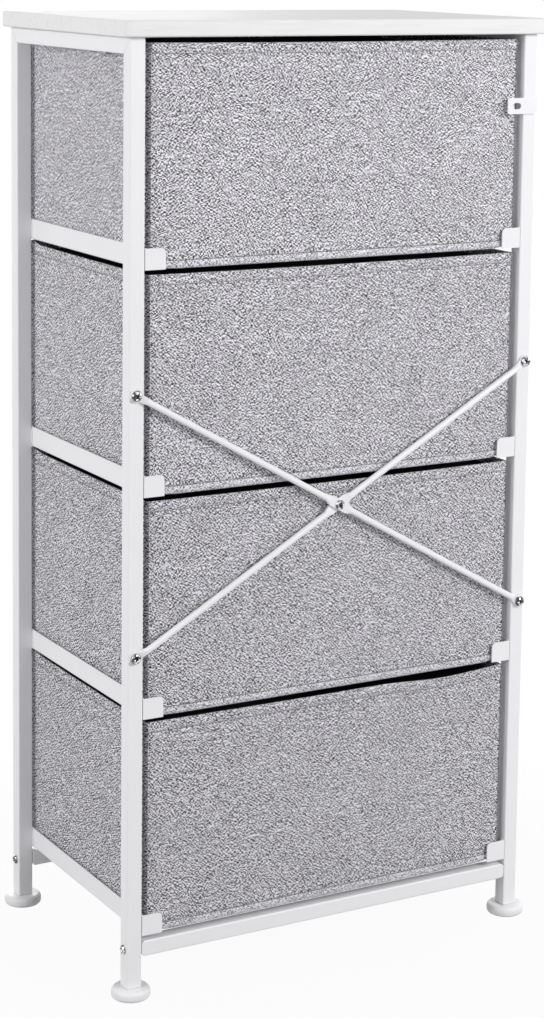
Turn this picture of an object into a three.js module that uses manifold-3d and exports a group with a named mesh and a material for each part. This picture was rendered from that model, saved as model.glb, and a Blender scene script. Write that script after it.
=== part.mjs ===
// Fabric drawer dresser: a welded square-tube frame with a wooden top, an X brace across the back and
// four fabric bins that slide on folded side rails.
// Millimetres, +Z up, front of the dresser towards -Y, origin on the floor under the middle of the top.
import * as THREE from 'three';
import { mergeVertices } from 'three/addons/utils/BufferGeometryUtils.js';
import Module from 'manifold-3d';

const wasm = await Module();
wasm.setup();

// Gaps
const seatGap = 0.3; // between a piece and what it rests on or is fastened to
const boreClearance = 0.3; // round a shank in its hole, on the radius
const overrun = 1; // how far a cutting shape reaches past the face that it cuts

// Wooden top
const topWidth = 450;
const topDepth = 280;
const topThickness = 15;
const topCornerRadius = 7;
const topEdgeRadius = 2;
const topOverhang = 7.5;

// Square steel tube of the frame
const tubeSize = 15;
const tubeWall = 1.2;
const tubeCornerRadius = 1.5;

// Feet: a round puck on a threaded stem, in an insert in the end of each post
const footRadius = 18.35;
const footThickness = 10;
const footUpperRounding = 4;
const footLowerRounding = 3;
const stemRadius = 4;
const stemLength = 18;
const insertLength = 22;

// Crossbars near the floor, front and rear
const legClearance = 28.7; // free post between the foot and the crossbar
const crossbarEndRounding = 4;
const crossbarEndPlate = 3;

// Side rails of folded sheet, one pair for each drawer
const railSheet = 1.2;
const railHeight = 20;
const railFlange = 14;
const railBendRadius = 1;
const railAboveCrossbar = 5;
const stopTabWidth = 20.5;
const stopTabHeight = 19.5;
const stopTabRounding = 4.5;

// Fabric bins, each with a loose base board and a strap pull
const drawerCount = 4;
const binHeight = 200;
const binWall = 3;
const binFloor = 1.6;
const binCornerRadius = 4;
const binSideClearance = 2.5;
const binHeadClearance = 5;
const binStopClearance = 2.8;
const binFrontSetback = 2;
const baseBoardThickness = 3;
const baseBoardClearance = 1;
const strapLength = 120;
const strapWidth = 26;
const strapThickness = 1.6;
const strapSewnLength = 17;
const strapBulge = 9.4;
const strapHeightShare = 0.62; // of the bin's height

// X brace of two rods with flattened eyes
const rodRadius = 3;
const rodEyeRadius = 6.2;
const rodEyeThickness = 2;
const rodStandOff = 3.5; // from the posts' rear face to the middle of a rod
const rodFlatLength = 6; // from a hole to where the flattening ends
const rodNeckRadius = 3.8; // half the width of the flattening beside an eye
const rodTaperLength = 7;
const rodWaistRadius = 5; // half the width of the flattening where the rods cross
const braceBoltOffset = 1; // outwards from the middle of the post
const braceHeightShares = { lower: 0.3672, upper: 0.64 }; // of the height under the top

// Wall bracket: a slotted plate on one rear post
const bracketThickness = 1.5;
const bracketHeight = 15.5;
const bracketReach = 19; // inwards past the post
const bracketInset = 0.8; // from the post's outer side
const bracketRounding = 2;
const bracketDrop = 69; // from the top's underside to the slot
const slotLength = 9.2;
const slotWidth = 6;
const slotMargin = 6; // between the slot and the plate's free end

// Screws: radius and height of the head, radius and length of the shank
const braceScrew = { headRadius: 5, headHeight: 3.4, shankRadius: 2.5, shankLength: 16 };
const crossbarScrew = { headRadius: 4.3, headHeight: 2.6, shankRadius: 2.4, shankLength: 30 };
const topScrew = { headRadius: 3.6, headHeight: 2.2, shankRadius: 2, shankLength: 24 };
const waistBolt = { headRadius: 4.7, headHeight: 2.4, shankRadius: 2, shankLength: 7 };
const waistNutRadius = 3.6;
const waistNutHeight = 2;
const topScrewInset = 60; // from the frame's front and rear
const recessDepthShare = 0.55; // of the head's height
const recessReachShare = 0.55; // of the head's radius
const recessWidthShare = 0.2; // of the head's radius

// Sizes that follow
const frameWidth = topWidth - 2 * topOverhang;
const frameDepth = topDepth - 2 * topOverhang;
const frameSide = frameWidth / 2;
const frameRear = frameDepth / 2;
const postX = frameSide - tubeSize / 2;
const postY = frameRear - tubeSize / 2;
const postInnerX = frameSide - tubeSize;
const postBottom = footThickness + seatGap;
const crossbarBottom = postBottom + legClearance;
const crossbarMiddle = crossbarBottom + tubeSize / 2;
const lowestRail = crossbarBottom + tubeSize + railAboveCrossbar;
const drawerPitch = railSheet + seatGap + binHeight + binHeadClearance;
const topUnderside = lowestRail + drawerCount * drawerPitch;
const frameTop = topUnderside - seatGap;
const postHeight = frameTop - postBottom;
const railOuterX = postInnerX - seatGap;
const binWidth = 2 * (railOuterX - railSheet - binSideClearance);
const binFront = -frameRear + binFrontSetback;
const binRear = frameRear - railSheet - binStopClearance;
const braceBoltX = postX + braceBoltOffset;
const braceLower = braceHeightShares.lower * topUnderside;
const braceUpper = braceHeightShares.upper * topUnderside;

// Facets: half the facets of an outline's quarter round, facets of a turned rounding, and of full circles
const cornerSteps = 2;
const topCornerSteps = 4;
const roundingSteps = 3;
const boreSides = 16;
const screwSides = 14;
const footSides = 32;
const rodSides = 16;
const nutSides = 6;
const strapSteps = 14;

const finishes = {
  top: new THREE.MeshStandardMaterial({ color: 0xf1f1f1, roughness: 0.5, metalness: 0 }),
  frame: new THREE.MeshStandardMaterial({ color: 0xe9e9eb, roughness: 0.4, metalness: 0.1 }),
  chrome: new THREE.MeshStandardMaterial({ color: 0xc8c9cc, roughness: 0.15, metalness: 1 }),
  plastic: new THREE.MeshStandardMaterial({ color: 0xececea, roughness: 0.45, metalness: 0 }),
  fabric: new THREE.MeshStandardMaterial({ color: 0xa9a9ae, roughness: 0.95, metalness: 0 }),
  strap: new THREE.MeshStandardMaterial({ color: 0x9c9ca2, roughness: 0.95, metalness: 0 }),
  board: new THREE.MeshStandardMaterial({ color: 0x8d7a63, roughness: 0.8, metalness: 0 }),
};

// Booleans

function toSolid(geometry) {
  const bare = geometry.clone();
  bare.deleteAttribute('normal');
  bare.deleteAttribute('uv');
  const merged = mergeVertices(bare);
  const index = merged.index.array;
  const triangles = [];
  for (let i = 0; i < index.length; i += 3) {
    const [a, b, c] = [index[i], index[i + 1], index[i + 2]];
    if (a !== b && b !== c && c !== a) triangles.push(a, b, c);
  }
  return new wasm.Manifold(new wasm.Mesh({
    numProp: 3,
    vertProperties: new Float32Array(merged.attributes.position.array),
    triVerts: new Uint32Array(triangles),
  }));
}

function toGeometry(solid) {
  const mesh = solid.getMesh();
  const geometry = new THREE.BufferGeometry();
  geometry.setAttribute('position', new THREE.BufferAttribute(new Float32Array(mesh.vertProperties), 3));
  geometry.setIndex(new THREE.BufferAttribute(new Uint32Array(mesh.triVerts), 1));
  return geometry;
}

function cut(body, ...tools) {
  return tools.reduce((rest, tool) => rest.subtract(toSolid(tool)), toSolid(body));
}

function join(...bodies) {
  return bodies.slice(1).reduce((sum, body) => sum.add(toSolid(body)), toSolid(bodies[0]));
}

// Outlines and plain bodies

function polygon(points) {
  return new THREE.Shape(points.map(([x, y]) => new THREE.Vector2(x, y)));
}

function roundedRectangle(width, height, radius) {
  const [x, y] = [width / 2 - radius, height / 2 - radius];
  const outline = new THREE.Shape();
  outline.absarc(x, y, radius, 0, Math.PI / 2);
  outline.absarc(-x, y, radius, Math.PI / 2, Math.PI);
  outline.absarc(-x, -y, radius, Math.PI, 1.5 * Math.PI);
  outline.absarc(x, -y, radius, 1.5 * Math.PI, 2 * Math.PI);
  return outline;
}

// A prism that rises from z = 0
function upPrism(outline, height, steps = cornerSteps) {
  return new THREE.ExtrudeGeometry(outline, { depth: height, bevelEnabled: false, curveSegments: steps });
}

// A prism that runs forward from y = 0, its outline drawn in x and z
function forwardPrism(outline, depth, steps = cornerSteps) {
  return upPrism(outline, depth, steps).rotateX(Math.PI / 2);
}

// A prism that runs along x from x = 0, its outline drawn in y and z
function sidewaysPrism(outline, length, steps = cornerSteps) {
  return upPrism(outline, length, steps).rotateX(Math.PI / 2).rotateZ(Math.PI / 2);
}

function cylinder(radius, length, sides = boreSides) {
  return new THREE.CylinderGeometry(radius, radius, length, sides).rotateX(Math.PI / 2);
}

// A body turned round the z axis from [radius, height] points that start and end on the axis
function turned(profile, sides) {
  const points = profile.map(([radius, height]) => new THREE.Vector2(radius, height));
  return new THREE.LatheGeometry(points, sides).rotateX(Math.PI / 2);
}

// Points of a quarter round of a profile, from one angle to another
function rounding(centreRadius, centreHeight, radius, from, to) {
  return Array.from({ length: roundingSteps + 1 }, (_, step) => {
    const angle = from + (to - from) * step / roundingSteps;
    return [centreRadius + radius * Math.cos(angle), centreHeight + radius * Math.sin(angle)];
  });
}

// The wall of the square tube, standing on z = 0
function tube(length) {
  const inner = tubeSize - 2 * tubeWall;
  const outline = roundedRectangle(tubeSize, tubeSize, tubeCornerRadius);
  outline.holes.push(roundedRectangle(inner, inner, Math.max(tubeCornerRadius - tubeWall, tubeWall / 4)));
  return upPrism(outline, length);
}

function place(solid, name, material, x = 0, y = 0, z = 0) {
  const geometry = solid instanceof THREE.BufferGeometry ? solid : toGeometry(solid);
  const mesh = new THREE.Mesh(geometry, material);
  mesh.name = name;
  mesh.position.set(x, y, z);
  return mesh;
}

// A pan head screw with a cross recess: head above z = 0, shank below
function screwSolid({ headRadius, headHeight, shankRadius, shankLength }) {
  const crown = Array.from({ length: roundingSteps + 1 }, (_, step) => {
    const angle = step / roundingSteps * Math.PI / 2;
    return [headRadius * Math.cos(angle), headHeight * Math.sin(angle)];
  });
  crown[roundingSteps][0] = 0;
  const body = turned([[0, -shankLength], [shankRadius, -shankLength], [shankRadius, 0], ...crown], screwSides);
  const recessDepth = recessDepthShare * headHeight;
  const reach = 2 * recessReachShare * headRadius;
  const width = recessWidthShare * headRadius;
  const bar = (x, y) => new THREE.BoxGeometry(x, y, recessDepth + overrun)
    .translate(0, 0, headHeight + (overrun - recessDepth) / 2);
  return cut(body, bar(reach, width), bar(width, reach));
}

// Top

function makeTop() {
  const outline = roundedRectangle(
    topWidth - 2 * topEdgeRadius, topDepth - 2 * topEdgeRadius, topCornerRadius - topEdgeRadius);
  const panel = new THREE.ExtrudeGeometry(outline, {
    depth: topThickness - 2 * topEdgeRadius,
    bevelSize: topEdgeRadius,
    bevelThickness: topEdgeRadius,
    bevelSegments: 3,
    curveSegments: topCornerSteps,
  }).translate(0, 0, topEdgeRadius);
  const grip = topScrew.shankLength - tubeSize - 2 * seatGap;
  const holes = topScrewPlaces().map(([x, y]) =>
    cylinder(topScrew.shankRadius + boreClearance, 2 * (grip + boreClearance)).translate(x, y, 0));
  return place(cut(panel, ...holes), 'table_top', finishes.top, 0, 0, topUnderside);
}

function topScrewPlaces() {
  const y = frameRear - topScrewInset;
  return [[-postX, -y], [postX, -y], [-postX, y], [postX, y]];
}

// Frame

// Posts are mitred at the top, where the side tubes meet them; rear posts are drilled for the brace.
function makePost(name, sideX, sideY) {
  const slope = polygon([
    [sideY * (-tubeSize / 2 - overrun), postHeight - tubeSize - overrun],
    [sideY * (tubeSize / 2 + overrun), postHeight + overrun],
    [sideY * (-tubeSize / 2 - overrun), postHeight + overrun],
  ]);
  const mitre = sidewaysPrism(slope, tubeSize + 2 * overrun).translate(-tubeSize / 2 - overrun, 0, 0);
  const crossbarHole = cylinder(crossbarScrew.shankRadius + boreClearance, tubeSize + 2 * overrun)
    .rotateY(Math.PI / 2).translate(0, 0, crossbarMiddle - postBottom);
  const tools = [mitre, crossbarHole];
  if (sideY > 0) {
    for (const height of [braceLower, braceUpper]) {
      tools.push(cylinder(braceScrew.shankRadius + boreClearance, tubeSize + 2 * overrun)
        .rotateX(Math.PI / 2).translate(sideX * braceBoltOffset, 0, height - postBottom));
    }
  }
  return place(cut(tube(postHeight), ...tools), name, finishes.frame, sideX * postX, sideY * postY, postBottom);
}

// Side tubes lie between the tops of two posts, mitred at both ends.
function makeSideTube(name, sideX) {
  const mitreGap = seatGap * Math.SQRT2;
  const mitres = [-1, 1].map((end) => sidewaysPrism(polygon([
    [end * (frameRear - tubeSize - mitreGap - overrun), -overrun],
    [end * (frameRear - mitreGap + overrun), tubeSize + overrun],
    [end * (frameRear + overrun), tubeSize + overrun],
    [end * (frameRear + overrun), -overrun],
  ]), tubeSize + 2 * overrun).translate(-tubeSize / 2 - overrun, 0, 0));
  const holes = [-1, 1].map((end) =>
    cylinder(topScrew.shankRadius + boreClearance, 4 * tubeSize)
      .translate(0, end * (frameRear - topScrewInset), 0));
  const bar = tube(frameDepth).rotateX(Math.PI / 2).translate(0, frameRear, tubeSize / 2);
  return place(cut(bar, ...mitres, ...holes), name, finishes.frame, sideX * postX, 0, frameTop - tubeSize);
}

// Crossbars have rounded ends closed by a tapped plate.
function makeCrossbar(name, sideY) {
  const length = 2 * (postInnerX - seatGap);
  const bar = upPrism(roundedRectangle(tubeSize, tubeSize, tubeCornerRadius), length)
    .translate(0, 0, -length / 2).rotateY(Math.PI / 2);
  const front = forwardPrism(roundedRectangle(length, tubeSize, crossbarEndRounding), tubeSize)
    .translate(0, tubeSize / 2, 0);
  const innerSize = tubeSize - 2 * tubeWall;
  const hollow = new THREE.BoxGeometry(length - 2 * crossbarEndPlate, innerSize, innerSize);
  const tapping = cylinder(crossbarScrew.shankRadius + boreClearance, length + 2 * overrun)
    .rotateY(Math.PI / 2);
  const solid = toSolid(bar).intersect(toSolid(front)).subtract(toSolid(hollow)).subtract(toSolid(tapping));
  return place(solid, name, finishes.frame, 0, sideY * postY, crossbarMiddle);
}

// A rail is an L of sheet, its flange at the foot; the rear end is folded inwards as the drawer stop.
function makeRail(name, sideX, height) {
  const web = railHeight;
  const bend = railBendRadius + railSheet;
  const section = new THREE.Shape();
  section.moveTo(0, web);
  section.lineTo(0, bend);
  section.absarc(-bend, bend, bend, 0, -Math.PI / 2, true);
  section.lineTo(-railFlange, 0);
  section.lineTo(-railFlange, railSheet);
  section.lineTo(-bend, railSheet);
  section.absarc(-bend, bend, railBendRadius, -Math.PI / 2, 0, false);
  section.lineTo(-railSheet, web);
  const angle = forwardPrism(section, frameDepth);
  const tabOutline = new THREE.Shape();
  tabOutline.moveTo(0, 0);
  tabOutline.lineTo(0, stopTabHeight);
  tabOutline.lineTo(stopTabRounding - stopTabWidth, stopTabHeight);
  tabOutline.absarc(stopTabRounding - stopTabWidth, stopTabHeight - stopTabRounding, stopTabRounding,
    Math.PI / 2, Math.PI, false);
  tabOutline.lineTo(-stopTabWidth, 0);
  const tab = forwardPrism(tabOutline, railSheet);
  let solid = join(angle, tab);
  if (sideX < 0) solid = solid.mirror([1, 0, 0]);
  return place(solid, name, finishes.frame, sideX * railOuterX, frameRear, height);
}

// A foot stands on z = 0 and turns on its stem.
function makeFoot(name, x, y) {
  const lower = rounding(footRadius - footLowerRounding, footLowerRounding, footLowerRounding,
    -Math.PI / 2, 0);
  const upper = rounding(footRadius - footUpperRounding, footThickness - footUpperRounding,
    footUpperRounding, 0, Math.PI / 2);
  const stemTop = footThickness + stemLength;
  const profile = [[0, 0], ...lower, ...upper, [stemRadius, footThickness], [stemRadius, stemTop], [0, stemTop]];
  return place(turned(profile, footSides), name, finishes.plastic, x, y, 0);
}

function makeInsert(name, x, y) {
  const side = tubeSize - 2 * (tubeWall + seatGap);
  const outline = roundedRectangle(side, side, seatGap);
  const bore = cylinder(stemRadius + boreClearance, 2 * (insertLength + overrun));
  return place(cut(upPrism(outline, insertLength), bore), name, finishes.plastic, x, y, postBottom);
}

// Back brace

// One rod lies along x about its middle. It is round but for flattened eyes at the ends, which lie on the
// posts, and a flattened waist, which lies on one side of the rod's middle so that the two rods cross.
function rodSolid(span, tilt, waistSide) {
  const eyeShift = rodStandOff - seatGap - rodEyeThickness / 2;
  const waistShift = waistSide * (rodEyeThickness + seatGap) / 2;
  const half = span / 2;
  const crossing = rodWaistRadius / Math.tan(Math.min(tilt, Math.PI / 2 - tilt)) + seatGap;
  const flat = (place, halfWidth, shift) => ({ place, halfWidth, halfThickness: rodEyeThickness / 2, shift });
  const round = (place) => ({ place, halfWidth: rodRadius, halfThickness: rodRadius, shift: 0 });
  const arm = [
    flat(0, rodWaistRadius, waistShift),
    flat(crossing, rodWaistRadius, waistShift),
    round(crossing + rodTaperLength),
    round(half - rodFlatLength - rodTaperLength),
    flat(half - rodFlatLength, rodNeckRadius, eyeShift),
    flat(half, rodNeckRadius, eyeShift),
  ];
  const mirrored = arm.slice(1).reverse().map((station) => ({ ...station, place: -station.place }));
  const stations = [...mirrored, ...arm];
  const eye = (x) => cylinder(rodEyeRadius, rodEyeThickness).rotateX(Math.PI / 2).translate(x, -eyeShift, 0);
  const bore = (x, radius) => cylinder(radius + boreClearance, 4 * rodRadius).rotateX(Math.PI / 2)
    .translate(x, 0, 0);
  let solid = toSolid(loft(stations)).add(toSolid(eye(-half))).add(toSolid(eye(half)));
  solid = solid.subtract(toSolid(bore(-half, braceScrew.shankRadius)));
  solid = solid.subtract(toSolid(bore(half, braceScrew.shankRadius)));
  return solid.subtract(toSolid(bore(0, waistBolt.shankRadius)));
}

// A closed skin through stations along x, each an ellipse or a flattened one, shifted towards -y
function loft(stations) {
  const positions = [];
  const index = [];
  for (const { place: x, halfWidth, halfThickness, shift } of stations) {
    for (let side = 0; side < rodSides; side += 1) {
      const angle = (side + 0.5) / rodSides * 2 * Math.PI;
      const y = THREE.MathUtils.clamp(halfWidth * Math.cos(angle), -halfThickness, halfThickness);
      positions.push(x, y - shift, halfWidth * Math.sin(angle));
    }
  }
  const ring = (station, side) => station * rodSides + side % rodSides;
  for (let station = 0; station + 1 < stations.length; station += 1) {
    for (let side = 0; side < rodSides; side += 1) {
      const [a, b] = [ring(station, side), ring(station, side + 1)];
      const [c, d] = [ring(station + 1, side + 1), ring(station + 1, side)];
      index.push(a, b, c, a, c, d);
    }
  }
  const last = stations.length - 1;
  for (let side = 1; side + 1 < rodSides; side += 1) {
    index.push(ring(0, 0), ring(0, side + 1), ring(0, side));
    index.push(ring(last, 0), ring(last, side), ring(last, side + 1));
  }
  const geometry = new THREE.BufferGeometry();
  geometry.setAttribute('position', new THREE.Float32BufferAttribute(positions, 3));
  geometry.setIndex(index);
  return geometry;
}

function makeBrace() {
  const group = new THREE.Group();
  const rise = braceUpper - braceLower;
  const span = Math.hypot(2 * braceBoltX, rise);
  const tilt = Math.atan2(rise, 2 * braceBoltX);
  const middle = (braceLower + braceUpper) / 2;
  const rodY = frameRear + rodStandOff;
  const rods = { brace_rod_outer: [-1, -tilt], brace_rod_inner: [1, tilt] };
  for (const [name, [waistSide, turn]] of Object.entries(rods)) {
    const rod = place(rodSolid(span, tilt, waistSide), name, finishes.frame, 0, rodY, middle);
    rod.rotation.y = turn;
    group.add(rod);
  }
  const headY = frameRear + 2 * seatGap + rodEyeThickness;
  const corners = {
    lower_left: [-1, braceLower], lower_right: [1, braceLower],
    upper_left: [-1, braceUpper], upper_right: [1, braceUpper],
  };
  for (const [corner, [sideX, height]] of Object.entries(corners)) {
    const screw = place(screwSolid(braceScrew), `brace_screw_${corner}`, finishes.chrome,
      sideX * braceBoltX, headY, height);
    screw.rotation.x = -Math.PI / 2;
    group.add(screw);
  }
  const waistHalf = rodEyeThickness + seatGap / 2;
  const bolt = place(screwSolid(waistBolt), 'brace_middle_bolt', finishes.frame,
    0, rodY + waistHalf + seatGap, middle);
  bolt.rotation.x = -Math.PI / 2;
  const nutSolid = cut(
    cylinder(waistNutRadius, waistNutHeight, nutSides).translate(0, 0, -waistNutHeight / 2),
    cylinder(waistBolt.shankRadius + boreClearance, 4 * waistNutHeight));
  const nut = place(nutSolid, 'brace_middle_nut', finishes.frame, 0, rodY - waistHalf - seatGap, middle);
  nut.rotation.x = -Math.PI / 2;
  group.add(bolt, nut);
  return group;
}

// Wall bracket on the rear left post

function makeBracket() {
  const length = tubeSize - bracketInset + bracketReach;
  const plate = forwardPrism(roundedRectangle(length, bracketHeight, bracketRounding), bracketThickness);
  const slotX = length / 2 - slotMargin - slotLength / 2;
  const slot = forwardPrism(roundedRectangle(slotLength, slotWidth, slotWidth / 2),
    bracketThickness + 2 * overrun).translate(slotX, overrun, 0);
  return place(cut(plate, slot), 'wall_bracket', finishes.frame,
    -frameSide + bracketInset + length / 2, frameRear + seatGap + bracketThickness, topUnderside - bracketDrop);
}

// Drawers

function makeDrawer(number, height) {
  const group = new THREE.Group();
  const depth = binRear - binFront;
  const inner = [binWidth - 2 * binWall, depth - 2 * binWall];
  const shell = upPrism(roundedRectangle(binWidth, depth, binCornerRadius), binHeight);
  const hollow = upPrism(roundedRectangle(...inner, binCornerRadius / 2), binHeight).translate(0, 0, binFloor);
  const base = upPrism(roundedRectangle(
    inner[0] - 2 * baseBoardClearance, inner[1] - 2 * baseBoardClearance, binCornerRadius / 2), baseBoardThickness);
  group.position.set(0, (binRear + binFront) / 2, height + railSheet + seatGap);
  group.add(
    place(cut(shell, hollow), `drawer_bin_${number}`, finishes.fabric),
    place(base, `drawer_base_${number}`, finishes.board, 0, 0, binFloor + seatGap),
    place(strapGeometry(), `drawer_strap_${number}`, finishes.strap,
      0, -depth / 2 - seatGap, strapHeightShare * binHeight - strapWidth / 2),
  );
  return group;
}

// A strip of webbing sewn down at both ends and bowed forward between them
function strapGeometry() {
  const bowed = strapLength / 2 - strapSewnLength;
  const bow = Array.from({ length: strapSteps + 1 }, (_, step) => {
    const x = bowed * (2 * step / strapSteps - 1);
    return [x, -strapBulge * Math.cos(x / bowed * Math.PI / 2) ** 2];
  });
  const back = [[-strapLength / 2, 0], ...bow, [strapLength / 2, 0]];
  const face = back.map(([x, y]) => [x, y - strapThickness]).reverse();
  return upPrism(polygon([...back, ...face]), strapWidth);
}

// Assembly

function makeFrame() {
  const group = new THREE.Group();
  const sides = { left: -1, right: 1 };
  const ends = { front: -1, rear: 1 };
  for (const [side, sideX] of Object.entries(sides)) {
    for (const [end, sideY] of Object.entries(ends)) {
      const [x, y] = [sideX * postX, sideY * postY];
      group.add(makePost(`post_${end}_${side}`, sideX, sideY));
      group.add(makeInsert(`post_insert_${end}_${side}`, x, y));
      group.add(makeFoot(`foot_${end}_${side}`, x, y));
      const screw = place(screwSolid(crossbarScrew), `crossbar_screw_${end}_${side}`, finishes.chrome,
        sideX * (frameSide + seatGap), y, crossbarMiddle);
      screw.rotation.y = sideX * Math.PI / 2;
      group.add(screw);
    }
    group.add(makeSideTube(`side_tube_${side}`, sideX));
    for (let level = 1; level <= drawerCount; level += 1) {
      group.add(makeRail(`rail_${side}_${level}`, sideX, railHeightAt(level)));
    }
  }
  group.add(makeCrossbar('crossbar_front', -1), makeCrossbar('crossbar_rear', 1));
  topScrewPlaces().forEach(([x, y], number) => {
    const screw = place(screwSolid(topScrew), `top_screw_${number + 1}`, finishes.chrome,
      x, y, frameTop - tubeSize - seatGap);
    screw.rotation.x = Math.PI;
    group.add(screw);
  });
  return group;
}

// Levels count down from the top drawer.
function railHeightAt(level) {
  return lowestRail + (drawerCount - level) * drawerPitch;
}

const dresser = new THREE.Group();
dresser.add(makeTop(), makeFrame(), makeBrace(), makeBracket());
for (let level = 1; level <= drawerCount; level += 1) {
  dresser.add(makeDrawer(level, railHeightAt(level)));
}

export default dresser;
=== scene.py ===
"""Looks for the fabric drawer dresser: fabric bins with hems and stitching, webbing pulls, screws, weld
beads, and procedural materials for every solid of the frame. Metres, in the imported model's frame."""

import math
from typing import NamedTuple

import bpy
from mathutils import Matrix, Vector


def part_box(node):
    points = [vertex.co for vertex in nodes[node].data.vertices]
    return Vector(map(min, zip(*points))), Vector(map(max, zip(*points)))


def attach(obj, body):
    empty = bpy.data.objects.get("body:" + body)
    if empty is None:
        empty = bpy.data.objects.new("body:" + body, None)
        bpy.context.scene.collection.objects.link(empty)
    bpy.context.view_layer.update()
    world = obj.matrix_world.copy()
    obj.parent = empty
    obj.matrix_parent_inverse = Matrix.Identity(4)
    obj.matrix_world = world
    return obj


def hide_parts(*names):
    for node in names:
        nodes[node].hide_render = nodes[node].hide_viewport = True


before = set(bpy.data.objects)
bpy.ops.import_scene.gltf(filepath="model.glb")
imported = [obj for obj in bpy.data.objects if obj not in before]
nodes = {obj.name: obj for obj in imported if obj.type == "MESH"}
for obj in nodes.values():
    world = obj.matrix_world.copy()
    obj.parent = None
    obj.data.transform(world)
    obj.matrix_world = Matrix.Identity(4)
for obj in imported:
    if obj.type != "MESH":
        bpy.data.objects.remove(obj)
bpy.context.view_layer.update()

MM = 0.001
DRAWERS = (1, 2, 3, 4)

# Materials


class Graph:
    """A material's node tree with a Principled shader, and short calls to add and join nodes."""

    def __init__(self, name):
        self.material = bpy.data.materials.new(name)
        self.material.use_nodes = True
        self.tree = self.material.node_tree
        self.tree.nodes.clear()
        self.output = self.add("OutputMaterial")
        self.shader = self.add("BsdfPrincipled")
        self.feed(self.output.inputs["Surface"], self.shader.outputs["BSDF"])

    def add(self, kind, inputs=None, **settings):
        node = self.tree.nodes.new("ShaderNode" + kind)
        for key, value in settings.items():
            setattr(node, key, value)
        for socket, value in (inputs or {}).items():
            self.feed(node.inputs[socket], value)
        return node

    def feed(self, socket, value):
        if isinstance(value, bpy.types.NodeSocket):
            self.tree.links.new(value, socket)
        else:
            socket.default_value = value

    def finish(self, **values):
        """Sets the Principled shader's sockets and returns the material."""
        for name, value in values.items():
            self.feed(self.shader.inputs[name.replace("_", " ")], value)
        return self.material

    def math(self, operation, *values, clamp=False):
        node = self.add("Math", operation=operation, use_clamp=clamp)
        for socket, value in zip(node.inputs, values):
            self.feed(socket, value)
        return node.outputs[0]

    def mix(self, factor, a, b):
        """a where factor is 0 and b where it is 1."""
        node = self.add("Mix", data_type="FLOAT")
        for socket, value in zip((node.inputs[0], node.inputs[2], node.inputs[3]), (factor, a, b)):
            self.feed(socket, value)
        return node.outputs[0]

    def ramp(self, value, stops):
        """A colour for each value. stops has pairs of a place from 0 to 1 and a colour."""
        node = self.add("ValToRGB", {"Fac": value})
        elements = node.color_ramp.elements
        while len(elements) < len(stops):
            elements.new(1.0)
        for element, (place, colour) in zip(elements, stops):
            element.position = place
            element.color = (*colour, 1.0)
        return node.outputs["Color"]

    def between(self, value, low, high, out_low=0.0, out_high=1.0):
        """out_low where the value is low or less, and out_high where it is high or more."""
        node = self.add("MapRange", {0: value, 1: low, 2: high, 3: out_low, 4: out_high}, clamp=True)
        return node.outputs[0]

    def place(self, scale=(1, 1, 1)):
        """A point's place in its object, in metres, with each axis times its scale."""
        place = self.add("TexCoord").outputs["Object"]
        return self.add("Mapping", {"Vector": place, "Scale": scale}).outputs[0]

    def cloth_place(self):
        """How far along the cloth and how far up it a point is, in metres, and the two together."""
        uv = self.add("UVMap", uv_map="cloth").outputs[0]
        along, up, _ = self.add("SeparateXYZ", {0: uv}).outputs
        return along, up, uv

    def noise(self, vector, scale, detail=2.0, roughness=0.5):
        node = self.add("TexNoise", {
            "Vector": vector, "Scale": scale, "Detail": detail, "Roughness": roughness})
        return node.outputs["Fac"]

    def bump(self, height, strength, distance):
        return self.add("Bump", {"Height": height, "Strength": strength, "Distance": distance}).outputs[0]

    def random(self, a, b, seed):
        """A value from 0 to 1 for each pair of whole numbers."""
        cell = self.add("CombineXYZ", {0: a, 1: b, 2: seed}).outputs[0]
        return self.add("TexWhiteNoise", {"Vector": cell}, noise_dimensions="3D").outputs["Value"]


def grey(level, green=0.992, blue=1.02):
    """A grey with a slight cool tint."""
    return (level, level * green, level * blue)


def yarn_stops(*stops):
    """Stops of a colour ramp in greys with the cloth's faint violet."""
    return [(place, grey(level, green=0.985, blue=1.05)) for place, level in stops]


def painted_metal(name):
    """White powder coat: orange peel, slight clouding, fine handling marks and a little dust."""
    g = Graph(name)
    place = g.place()
    cloud = g.noise(place, scale=14, detail=3)
    scuff = g.noise(g.place((1, 1, 0.12)), scale=900, roughness=0.7)
    marks = g.between(scuff, 0.70, 0.80)
    dust = g.noise(place, scale=160, detail=4, roughness=0.7)
    tone = g.math("SUBTRACT", g.mix(cloud, 0.30, 0.70), g.math("MULTIPLY", marks, 0.5), clamp=True)
    tone = g.mix(g.between(dust, 0.62, 0.78), tone, 0.0)
    peel = g.noise(place, scale=1100, roughness=0.4)
    return g.finish(
        Base_Color=g.ramp(tone, [(0.0, grey(0.76)), (0.35, grey(0.825)), (1.0, grey(0.85))]),
        Roughness=g.mix(cloud, 0.34, 0.46), Specular_IOR_Level=0.45,
        Normal=g.bump(peel, strength=0.10, distance=0.2 * MM))


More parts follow.
